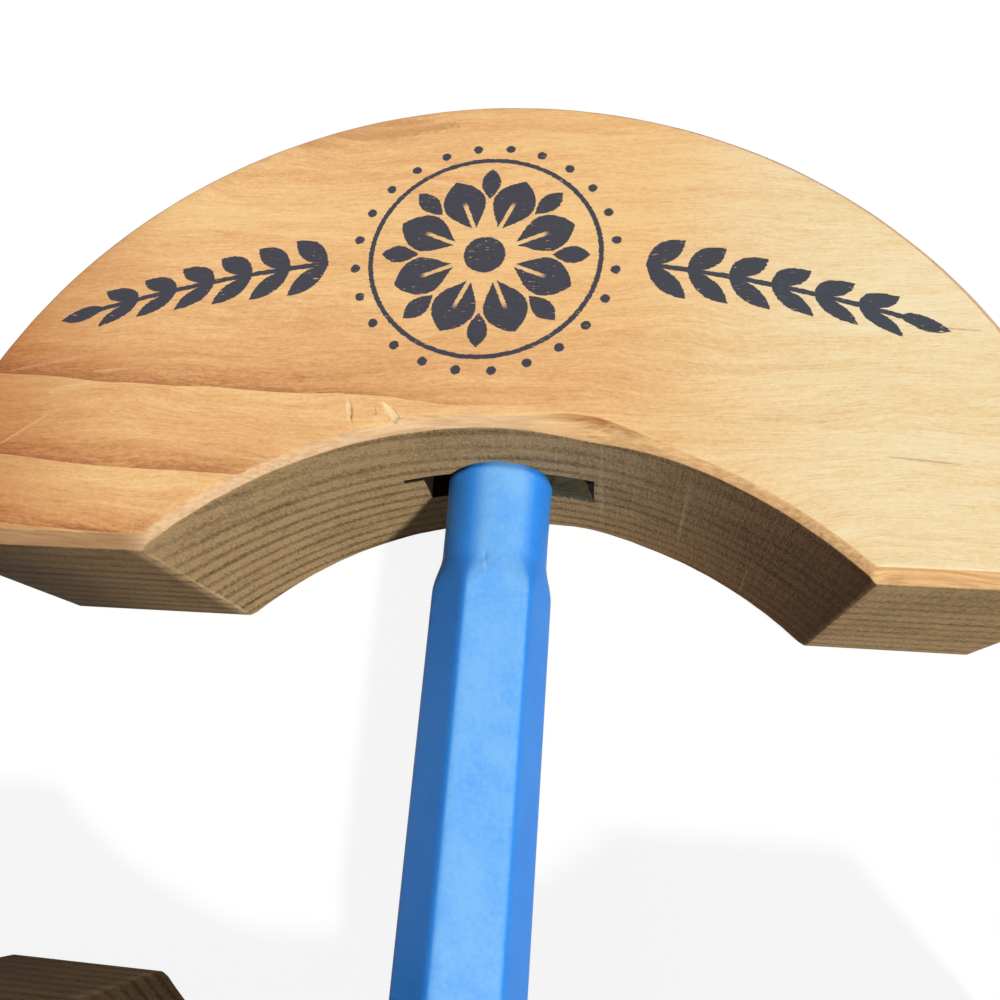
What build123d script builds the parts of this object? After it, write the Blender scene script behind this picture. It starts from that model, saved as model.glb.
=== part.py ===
"""Hat stretcher: two half-moon wood blocks pushed apart by a plastic turnbuckle handle.

Millimetres. The origin is the middle of the handle. +Y runs along the handle to the
front block, +Z is up, and the part lies flat on its undersides, closed.
"""
from build123d import *
from math import cos, radians
import os

# Wood blocks: the outline is half an ellipse with a round arch cut out of its straight side
block_thickness = 38.1
block_half_width = 70.0
block_depth = 66.5
band_taper = 2.6          # the outer wall draws in by this much from top to underside
band_offset = -1.4        # middle of the outer curve, beside the handle's axis
arch_radius = 60.0
arch_rise = 17.1          # how far the arch reaches into the block
arch_offset = 1.8         # middle of the arch, beside the handle's axis
rim_chamfer = 1.5         # round the outer curve
end_chamfer = 1.6         # along the flat ends
arch_chamfer = 1.0        # round the arch

# Handle: a hexagon grip between two round collars, moulded in one
handle_length = 84.4
collar_radius = 7.0
collar_length = 12.0
collar_edge_chamfer = 0.7
flare_length = 7.5
grip_apothem = 7.1
grip_corner_round = 1.3
grip_corner_margin = 1.0  # from the hexagon's sharp corner to the turned shape round it
grip_lean = 12.6          # degrees that the top flat leans from level, towards +X
wall_gap = 0.15           # between a collar's rim and the floor of its seat, closed
seat_sink = 0.25          # from the deepest point of the arch to the seat's floor
seat_clearance = 0.3      # round a collar in its seat

# Threaded rods, right-hand in front and left-hand behind
rod_radius = 3.97
rod_tip_gap = 4.0         # between the two rods' tips, closed
rod_tip_chamfer = 0.8
rod_tenon_radius = 2.5    # turned-down end, riveted through the anchor plate
rod_bore_clearance = 0.35  # round a rod in the handle's middle bore
thread_clearance = 0.05   # round a rod in its threaded insert

# Brass inserts moulded into the collars
insert_radius = 5.4
insert_length = 16.0
insert_recess = 0.8       # from the collar's rim to the insert
insert_groove_width = 3.0
insert_groove_depth = 0.6
insert_clearance = 0.05   # round an insert in the handle

# Anchor plates and their pockets in the arch wall
pocket_width = 23.2
pocket_offset = 1.3
pocket_height = 8.0
pocket_depth = 7.6        # from the deepest point of the arch
kerf_length = 2.6         # saw cut that runs on past the pocket's end
kerf_height = 0.7
kerf_depth = 3.0
plate_width = 22.6
plate_height = 7.4
plate_thickness = 4.8
glue_recess = 1.1         # from the deepest point of the arch to the glue's face
glue_start = 2.0          # where the glue begins, beside the rod's middle

# Places along the handle that follow from the sizes above
handle_half = handle_length / 2
arch_centre_depth = arch_radius - arch_rise
seat_y = handle_half + wall_gap
wall_y = seat_y - seat_sink
end_face_y = wall_y - arch_rise
arch_centre_y = end_face_y - arch_centre_depth
pocket_floor_y = wall_y + pocket_depth
plate_face_y = pocket_floor_y - plate_thickness
rod_tip_y = rod_tip_gap / 2
far = 3 * block_half_width


def ellipse_slab(levels):
    """Solid through flat ellipses, each given as (height, shrink)."""
    outlines = []
    for height, shrink in levels:
        outline = Ellipse(block_half_width - shrink, block_depth - shrink)
        outlines.append(Pos(band_offset, end_face_y, height) * outline)
    return loft(outlines, ruled=True)


def band_body():
    """Full oval with its tapered outer wall and chamfered rims."""
    top = block_thickness / 2
    step = rim_chamfer
    taper_step = band_taper * step / block_thickness
    return ellipse_slab([
        (-top, band_taper + step),
        (-top + step, band_taper - taper_step),
        (top - step, taper_step),
        (top, step),
    ])


def half_space():
    """Everything in front of the flat ends, with the ends' chamfers."""
    top = block_thickness / 2
    near = end_face_y
    profile = Polyline(
        (near + end_chamfer, -top),
        (near, -top + end_chamfer),
        (near, top - end_chamfer),
        (near + end_chamfer, top),
        (near + far, top),
        (near + far, -top),
        close=True,
    )
    section = make_face(Plane.YZ * profile)
    return extrude(section, amount=far, both=True)


def arch_cutter():
    """Round arch with the flare that chamfers its two edges."""
    top = block_thickness / 2
    flare = arch_chamfer
    profile = Polyline(
        (0, -top),
        (arch_radius + flare, -top),
        (arch_radius, -top + flare),
        (arch_radius, top - flare),
        (arch_radius + flare, top),
        (0, top),
        close=True,
    )
    section = make_face(Plane.XZ * profile)
    return Pos(arch_offset, arch_centre_y, 0) * revolve(section, Axis.Z)


def cylinder_y(radius, start, end):
    """Cylinder on the handle's axis from one place to another."""
    base = Plane(origin=(0, start, 0), z_dir=(0, 1, 0))
    return extrude(base * Circle(radius), amount=end - start)


def box_between(low, high):
    """Box from its lowest to its highest corner."""
    size = [b - a for a, b in zip(low, high)]
    middle = [(a + b) / 2 for a, b in zip(low, high)]
    return Pos(*middle) * Box(*size)


def pocket():
    """Space for the anchor plate, with the saw cut past its end."""
    left = pocket_offset - pocket_width / 2
    right = pocket_offset + pocket_width / 2
    high = pocket_height / 2
    opening = box_between((left, end_face_y, -high), (right, pocket_floor_y, high))
    kerf = box_between(
        (left - kerf_length, end_face_y, high - kerf_height),
        (left, wall_y + kerf_depth, high),
    )
    return opening + kerf


def front_block():
    """Half-moon block with the pocket for its anchor plate and the collar's round seat."""
    block = band_body() & half_space()
    block -= arch_cutter()
    block -= cylinder_y(collar_radius + seat_clearance, end_face_y, seat_y)
    return block - pocket()


def front_anchor_plate():
    """Flat steel bar across the pocket's floor, bored for the rod's tenon."""
    half_width = plate_width / 2
    half_height = plate_height / 2
    plate = box_between(
        (pocket_offset - half_width, plate_face_y, -half_height),
        (pocket_offset + half_width, pocket_floor_y, half_height),
    )
    return plate - cylinder_y(rod_tenon_radius, plate_face_y, pocket_floor_y)


def front_glue_fill():
    """Set glue in the pocket, over the plate on one side of the rod."""
    glue = box_between(
        (glue_start, wall_y + glue_recess, -pocket_height / 2),
        (pocket_offset + pocket_width / 2, plate_face_y, pocket_height / 2),
    )
    return glue - cylinder_y(rod_radius, end_face_y, plate_face_y)


def front_threaded_rod():
    """Steel rod at its thread's outer diameter, with a shoulder and tenon at the plate."""
    profile = Polyline(
        (0, rod_tip_y),
        (rod_radius - rod_tip_chamfer, rod_tip_y),
        (rod_radius, rod_tip_y + rod_tip_chamfer),
        (rod_radius, plate_face_y),
        (rod_tenon_radius, plate_face_y),
        (rod_tenon_radius, pocket_floor_y),
        (0, pocket_floor_y),
        close=True,
    )
    return revolve(make_face(profile), Axis.Y)


def insert_form(clearance):
    """Round insert with its grip groove, grown all over by a clearance."""
    outer = insert_radius + clearance
    end = handle_half - insert_recess
    start = end - insert_length
    middle = (start + end) / 2
    groove_half = insert_groove_width / 2 - clearance
    body = cylinder_y(outer, start - clearance, end)
    groove = cylinder_y(outer, middle - groove_half, middle + groove_half)
    core = cylinder_y(outer - insert_groove_depth, middle - groove_half, middle + groove_half)
    return body - (groove - core)


def front_thread_insert():
    """Brass insert that runs on the rod's thread."""
    bore = cylinder_y(rod_radius + thread_clearance, 0, handle_half)
    return insert_form(0) - bore


def handle_turning():
    """Turned shape of the handle: collars, flares and the grip's corner circle."""
    grip_corner = grip_apothem / cos(radians(30)) + grip_corner_margin
    flare_start = handle_half - collar_length
    flare_end = flare_start - flare_length
    half = [
        Line((0, handle_half), (collar_radius - collar_edge_chamfer, handle_half)),
        Line(
            (collar_radius - collar_edge_chamfer, handle_half),
            (collar_radius, handle_half - collar_edge_chamfer),
        ),
        Line((collar_radius, handle_half - collar_edge_chamfer), (collar_radius, flare_start)),
        Spline(
            (collar_radius, flare_start),
            (grip_corner, flare_end),
            tangents=((0, -1), (0, -1)),
        ),
        Line((grip_corner, flare_end), (grip_corner, 0)),
        Line((grip_corner, 0), (0, 0)),
        Line((0, 0), (0, handle_half)),
    ]
    turned = revolve(make_face(Curve() + half), Axis.Y)
    return turned + mirror(turned, about=Plane.XZ)


def hexagon_bar():
    """Hexagon with rounded corners, as long as the handle."""
    section = RegularPolygon(grip_apothem, 6, major_radius=False)
    section = fillet(section.vertices(), grip_corner_round)
    upright = Plane(origin=(0, -handle_half, 0), x_dir=(1, 0, 0), z_dir=(0, 1, 0))
    bar = extrude(upright * section, amount=handle_length)
    return bar.rotate(Axis.Y, grip_lean)


def handle():
    """Grip and collars in one moulding, bored right through."""
    body = handle_turning() & hexagon_bar()
    body -= cylinder_y(rod_radius + rod_bore_clearance, -handle_half, handle_half)
    mouth = cylinder_y(
        insert_radius + insert_clearance,
        handle_half - insert_recess,
        handle_half,
    )
    front_seat = insert_form(insert_clearance) + mouth
    return body - front_seat - half_turn(front_seat)


def half_turn(shape):
    """The same shape at the other end of the handle."""
    return shape.rotate(Axis.Z, 180)


def save(name, shape):
    """Write one piece as its own file."""
    shape.label = name
    export_step(shape, f"parts/{name}.step")


os.makedirs("parts", exist_ok=True)
front_pieces = {
    "block": front_block(),
    "anchor_plate": front_anchor_plate(),
    "threaded_rod": front_threaded_rod(),
    "thread_insert": front_thread_insert(),
    "glue_fill": front_glue_fill(),
}
for piece_name, piece in front_pieces.items():
    save(f"front_{piece_name}", piece)
    save(f"rear_{piece_name}", half_turn(piece))
save("handle", handle())
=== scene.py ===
import bpy
import bmesh
import math
from mathutils import Matrix, Vector, noise


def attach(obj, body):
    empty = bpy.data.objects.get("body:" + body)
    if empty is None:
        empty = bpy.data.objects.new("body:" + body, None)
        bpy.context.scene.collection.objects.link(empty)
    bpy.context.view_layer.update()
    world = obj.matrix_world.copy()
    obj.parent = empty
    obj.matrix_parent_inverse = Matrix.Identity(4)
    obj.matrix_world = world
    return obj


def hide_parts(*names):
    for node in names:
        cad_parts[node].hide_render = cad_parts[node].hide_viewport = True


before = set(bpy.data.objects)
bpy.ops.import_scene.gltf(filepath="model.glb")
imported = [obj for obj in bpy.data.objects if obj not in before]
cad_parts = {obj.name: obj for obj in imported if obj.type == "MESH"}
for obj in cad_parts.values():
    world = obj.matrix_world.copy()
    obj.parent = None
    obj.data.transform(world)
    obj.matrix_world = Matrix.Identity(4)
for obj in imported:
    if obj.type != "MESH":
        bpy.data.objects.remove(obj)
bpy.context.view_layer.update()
scene = bpy.context.scene
mm = 0.001
print("frame loaded, nodes:", len(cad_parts))


# camera, solved from the object's outline
view = {
    "position": (15.04, -1.20, 112.07),   # mm
    "right": (0.9915, 0.0768, -0.1048),
    "forward": (-0.1248, 0.3386, -0.9326),
    "sensor": 36.0,
    "lens": 31.32,
    "near": 0.005,                        # m
    "far": 6.0,
}


def addCamera(values):
    data = bpy.data.cameras.new("viewCamera")
    data.sensor_width = values["sensor"]
    data.lens = values["lens"]
    data.clip_start = values["near"]
    data.clip_end = values["far"]
    camera = bpy.data.objects.new("viewCamera", data)
    scene.collection.objects.link(camera)
    forward = Vector(values["forward"]).normalized()
    right = Vector(values["right"])
    right = (right - right.dot(forward) * forward).normalized()
    up = right.cross(forward)
    turn = Matrix((right, up, -forward)).transposed().to_4x4()
    camera.matrix_world = Matrix.Translation(Vector(values["position"]) * mm) @ turn
    scene.camera = camera


addCamera(view)
print("camera placed")


# helpers for shader nodes
def colour(shade):
    # red, green and blue from 0 to 255, as a picture editor gives them
    def linear(part):
        part = part / 255
        return part / 12.92 if part <= 0.04045 else ((part + 0.055) / 1.055) ** 2.4
    return (*[linear(part) for part in shade], 1.0)


class Wire:
    # one output of a node; sums and products of wires make math nodes
    def __init__(self, graph, socket):
        self.graph = graph
        self.socket = socket

    def __add__(self, other):
        return self.graph.calc("ADD", self, other)

    def __sub__(self, other):
        return self.graph.calc("SUBTRACT", self, other)

    def __rsub__(self, other):
        return self.graph.calc("SUBTRACT", other, self)

    def __mul__(self, other):
        return self.graph.calc("MULTIPLY", self, other)

    def __truediv__(self, other):
        return self.graph.calc("DIVIDE", self, other)

    def __abs__(self):
        return self.graph.calc("ABSOLUTE", self)


class Graph:
    def __init__(self, tree):
        self.tree = tree

    def put(self, socket, value):
        if isinstance(value, Wire):
            self.tree.links.new(value.socket, socket)
        else:
            socket.default_value = value

    def add(self, kind, inputs=None, **settings):
        # new node; gives its outputs in order
        node = self.tree.nodes.new(kind)
        for name, value in settings.items():
            setattr(node, name, value)
        for name, value in (inputs or {}).items():
            self.put(node.inputs[name], value)
        return [Wire(self, output) for output in node.outputs]

    def named(self, kind, inputs=None, **settings):
        # new node; gives its outputs by name
        return {wire.socket.name: wire for wire in self.add(kind, inputs, **settings)}

    def use(self, group, inputs):
        return self.named("ShaderNodeGroup", inputs, node_tree=group)

    def coord(self, name, factor=(1000, 1000, 1000)):
        # texture coordinate; the object's own one comes out in mm
        return self.vec("MULTIPLY", self.named("ShaderNodeTexCoord")[name], factor)

    def calc(self, operation, *values, clamp=False):
        return self.add("ShaderNodeMath", dict(enumerate(values)), operation=operation, use_clamp=clamp)[0]

    def vec(self, operation, *values):
        places = (0, "Scale") if operation == "SCALE" else (0, 1)
        vector, number = self.add("ShaderNodeVectorMath", dict(zip(places, values)), operation=operation)
        return number if operation in ("LENGTH", "DOT_PRODUCT") else vector

    def split(self, vector):
        return self.add("ShaderNodeSeparateXYZ", {"Vector": vector})

    def join(self, x, y, z):
        return self.add("ShaderNodeCombineXYZ", {"X": x, "Y": y, "Z": z})[0]

    def noise(self, vector, scale=1.0, detail=2.0, rough=0.5, output=0):
        # scale may differ along each axis; output 1 is the noise's colour
        if isinstance(scale, tuple):
            vector, scale = self.vec("MULTIPLY", vector, scale), 1.0
        return self.add("ShaderNodeTexNoise", {
            "Vector": vector, "Scale": scale, "Detail": detail, "Roughness": rough,
        })[output]

    def step(self, value, low, high, toLow=0.0, toHigh=1.0):
        return self.add("ShaderNodeMapRange", {
            "Value": value, "From Min": low, "From Max": high, "To Min": toLow, "To Max": toHigh,
        }, interpolation_type="SMOOTHSTEP", clamp=True)[0]

    def ramp(self, value, stops):
        result = self.add("ShaderNodeValToRGB", {"Fac": value})[0]
        elements = result.socket.node.color_ramp.elements
        while len(elements) < len(stops):
            elements.new(0.5)
        for element, (place, shade) in zip(elements, stops):
            element.position = place
            element.color = colour(shade)
        return result

    def mix(self, factor, first, second, blend="MIX"):
        # 6 and 7 are the node's colour inputs and 2 its colour output
        first, second = [part if isinstance(part, Wire) else colour(part) for part in (first, second)]
        return self.add("ShaderNodeMix", {0: factor, 6: first, 7: second},
                        data_type="RGBA", blend_type=blend, clamp_factor=True)[2]

    def most(self, *values):
        result = values[0]
        for value in values[1:]:
            result = self.calc("MAXIMUM", result, value)
        return result


def makeGroup(name, inputs, outputs, build):
    # every output is a number; an input is a number or a vector, as its default is
    tree = bpy.data.node_groups.new(name, "ShaderNodeTree")
    for label, default in inputs.items():
        kind = "NodeSocketVector" if isinstance(default, tuple) else "NodeSocketFloat"
        tree.interface.new_socket(name=label, in_out="INPUT", socket_type=kind).default_value = default
    for label in outputs:
        tree.interface.new_socket(name=label, in_out="OUTPUT", socket_type="NodeSocketFloat")
    graph = Graph(tree)
    entry = tree.nodes.new("NodeGroupInput")
    ending = tree.nodes.new("NodeGroupOutput")
    results = build(graph, {label: Wire(graph, entry.outputs[label]) for label in inputs})
    for label, value in results.items():
        graph.put(ending.inputs[label], value)
    return tree


def newMaterial(name):
    material = bpy.data.materials.new(name)
    material.use_nodes = True
    material.node_tree.nodes.clear()
    return material, Graph(material.node_tree)


def finishSurface(g, base, rough, height, others):
    # height is in mm; others are the shader's further inputs
    bump = g.add("ShaderNodeBump", {"Strength": 1.0, "Distance": mm, "Height": height})[0]
    inputs = {"Base Color": base, "Roughness": rough, "Normal": bump, **others}
    shader = g.add("ShaderNodeBsdfPrincipled", inputs)[0]
    g.add("ShaderNodeOutputMaterial", {"Surface": shader})


# effects that several materials share
def buildGrowthRings(g, i):
    # rings round a pith that runs roughly along X; the inner ones are wider
    lean = g.vec("SCALE", i["Lean"], g.split(i["Position"])[0])
    away = g.vec("SUBTRACT", g.vec("SUBTRACT", i["Position"], i["Pith"]), lean)
    radius = g.vec("LENGTH", g.vec("MULTIPLY", away, (0, 1, 1)))
    drift = g.noise(i["Position"], (0.03, 0.06, 0.06), 3) - 0.5
    radius = radius + drift * i["Wander"]
    inner = g.step(radius, i["Even From"], i["Even From"] - 12.5)
    age = radius / i["Ring Width"] + i["Phase"] + inner * i["Inner Shift"]
    year = g.add("ShaderNodeTexWhiteNoise", {"W": g.calc("FLOOR", age)}, noise_dimensions="1D")[0]
    return {"Ring": g.calc("FRACT", age), "Year": year}


def buildWoodFibre(g, i):
    pores = g.noise(i["Position"], (0.22, 5.5, 5.5), 1)
    return {
        "Fine": g.noise(i["Position"], (0.28, 3.4, 3.4), 3, 0.6),
        "Wide": g.noise(i["Position"], (0.05, 0.75, 0.75)),
        "Pores": g.step(pores, 0.6, 0.74),
    }


def buildFaceSorting(g, i):
    # what is neither flat nor wall is a chamfer
    height = abs(g.split(i["Normal"])[2])
    return {"Flat": g.step(height, 0.86, 0.97), "Wall": g.step(height, 0.5, 0.22)}


def buildLineMark(g, i):
    # soft line between two places, thinner at its ends and a little unsteady
    run = g.vec("SUBTRACT", i["End"], i["Start"])
    reach = g.vec("SUBTRACT", i["Position"], i["Start"])
    along = g.calc("DIVIDE", g.vec("DOT_PRODUCT", reach, run), g.vec("DOT_PRODUCT", run, run), clamp=True)
    away = g.vec("LENGTH", g.vec("SUBTRACT", reach, g.vec("SCALE", run, along)))
    away = away + (g.noise(i["Position"], 1.3) - 0.5) * i["Width"]
    width = i["Width"] * g.step(abs(along - 0.5), 0.5, 0.15, 0.35, 1.0)
    return {"Mark": g.step(away, width, width * 0.35)}


def buildSawMarks(g, i):
    # lines up and down a curved wall, from the blade that cut it
    x, y, z = g.split(g.vec("SUBTRACT", i["Position"], i["Middle"]))
    turn = g.calc("ARCTAN2", y, x) * i["Radius"]

    def lines(length, layer, scale, detail, rough=0.5):
        # a small length factor draws the lines out over the wall's height
        return g.noise(g.join(turn, z * length, layer), scale, detail, rough)

    fine = lines(0.05, 0.0, 1.7, 2, 0.6)
    rare = lines(0.02, 9.0, 0.55, 1)
    return {
        "Lines": fine,
        "Deep": g.step(rare, 0.62, 0.72) * g.step(fine, 0.45, 0.7),
        "Fuzz": lines(0.42, 4.0, 2.8, 2, 0.6),
        "Reach": g.vec("LENGTH", g.join(x, y, 0.0)),
    }


def buildFineScratches(g, i):
    first = g.noise(i["Position"], (0.25, 7.0, 3.0))
    second = g.noise(i["Position"], (5.0, 0.3, 2.0))
    marks = g.most(g.step(first, 0.64, 0.72), g.step(second, 0.66, 0.74))
    return {"Scratches": marks, "Cloud": g.noise(i["Position"], 0.35, 3)}


nowhere = (0, 0, 0)
growthRings = makeGroup("growthRings", {
    "Position": nowhere, "Pith": nowhere, "Lean": nowhere, "Ring Width": 3.0, "Phase": 0.0,
    "Wander": 1.0, "Even From": 66.0, "Inner Shift": 0.5,
}, ("Ring", "Year"), buildGrowthRings)
woodFibre = makeGroup("woodFibre", {"Position": nowhere}, ("Fine", "Wide", "Pores"), buildWoodFibre)
faceSorting = makeGroup("faceSorting", {"Normal": (0, 0, 1)}, ("Flat", "Wall"), buildFaceSorting)
lineMark = makeGroup("lineMark", {
    "Position": nowhere, "Start": nowhere, "End": (1, 0, 0), "Width": 0.3,
}, ("Mark",), buildLineMark)
sawMarks = makeGroup("sawMarks", {
    "Position": nowhere, "Middle": nowhere, "Radius": 60.0,
}, ("Lines", "Deep", "Fuzz", "Reach"), buildSawMarks)
fineScratches = makeGroup("fineScratches", {"Position": nowhere}, ("Scratches", "Cloud"), buildFineScratches)


def lineMarks(g, position, entries):
    # each mark's start, end, width and strength, mm; where they cross the strongest shows
    found = []
    for start, end, width, strength in entries:
        mark = g.use(lineMark, {"Position": position, "Start": start, "End": end, "Width": width})
        found.append(mark["Mark"] * strength)
    return g.most(*found)


# stamped ornament on the front block, mm
stamp = {
    "middle": (-2.0, 66.0),
    "petals": 8,
    "petalReach": (3.9, 12.3),
    "petalWidth": 0.34,        # half width, in radians
    "vein": (0.27, 4.0),       # half width, and how far it ends before the petal's tip
    "sepalReach": (8.6, 13.6),
    "sepalWidth": 0.12,
    "heart": 2.7,
    "ring": (14.9, 0.32),
    "dots": 24,
    "dotRing": (16.9, 0.62),
    "sprigReach": (20.5, 50.5),
    "sprigDrop": 0.0034,       # how fast the stem bends down
    "leafPitch": 5.0,
    "leafLength": 6.6,
    "leafWidth": 1.45,
    "leafTurn": 42,            # degrees from the stem
    "leafShrink": 0.62,        # size of the last leaves
    "tipLeaf": (2.3, 3.0, 1.1),  # how far past the leaves its middle is, half length, half width
    "stemWidth": 0.36,
    "bleed": 0.35,             # how far the ink's edge wanders
}


def buildStampedGarland(g, i):
    place = g.vec("SUBTRACT", i["Position"], (*stamp["middle"], 0))
    shake = g.vec("SUBTRACT", g.noise(place, (1.2, 3.0, 1.0), output=1), (0.5, 0.5, 0.5))
    x, y, z = g.split(g.vec("ADD", place, g.vec("SCALE", shake, i["Bleed"])))
    radius = g.vec("LENGTH", g.join(x, y, 0.0))
    angle = g.calc("ARCTAN2", y, x)

    def disc(distance, size, soft=0.06):
        return g.step(distance, size + soft, size - soft)

    def leaf(along, across, width, soft=0.12):
        # pointed oval; along runs from -1 to 1
        return g.step((1.0 - along * along) * width - abs(across), 0.0, soft)

    def around(count, shift):
        # angle from the nearest of so many spokes
        spread = 2 * math.pi / count
        return g.calc("MODULO", angle + (8 * math.pi + shift * spread), spread) - spread / 2

    def crown(fold, reach, width):
        low, high = reach
        return leaf((radius - (low + high) / 2) / ((high - low) / 2), fold, width, 0.012)

    fold = around(stamp["petals"], 0.0)
    thin, short = stamp["vein"]
    tip = stamp["petalReach"][1] - short
    vein = disc(radius * abs(fold), thin, 0.07) * disc(radius, tip, 0.6)
    petals = crown(fold, stamp["petalReach"], stamp["petalWidth"]) * (1.0 - vein)
    sepals = crown(around(stamp["petals"], 0.5), stamp["sepalReach"], stamp["sepalWidth"])
    hoop, thickness = stamp["ring"]
    ring = disc(abs(radius - hoop), thickness)
    hoop, size = stamp["dotRing"]
    dots = g.vec("LENGTH", g.join(around(stamp["dots"], 0.0) * hoop, radius - hoop, 0.0))

    # leaf pairs along a stem, the same on both sides
    start, end = stamp["sprigReach"]
    side = abs(x)
    height = y + side * side * stamp["sprigDrop"]
    inside = g.calc("GREATER_THAN", side, start) * g.calc("LESS_THAN", side, end)
    along = g.calc("FRACT", (side - start) / stamp["leafPitch"]) * stamp["leafPitch"]
    up = abs(height) / g.step(side, start, end, 1.0, stamp["leafShrink"])
    sine, cosine = math.sin(math.radians(stamp["leafTurn"])), math.cos(math.radians(stamp["leafTurn"]))
    half = stamp["leafLength"] / 2
    leaves = leaf((along * cosine + up * sine - half) / half, up * cosine - along * sine, stamp["leafWidth"])
    stem = disc(abs(height), stamp["stemWidth"], 0.05)
    past, long, wide = stamp["tipLeaf"]
    whole = g.most(petals, sepals, disc(radius, stamp["heart"]), ring, disc(dots, size),
                   g.most(leaves, stem) * inside, leaf((side - (end + past)) / long, height, wide))

    flecks = g.noise(i["Position"], (0.9, 6.0, 1.0))
    worn = g.step(flecks + g.noise(i["Position"], 0.22) * 0.35, 0.86, 0.96)
    return {"Ink": whole * (1.0 - worn), "Worn": flecks}


stampedGarland = makeGroup("stampedGarland", {"Position": nowhere, "Bleed": 0.35}, ("Ink", "Worn"),
                           buildStampedGarland)
print("shader effects ready")


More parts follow.
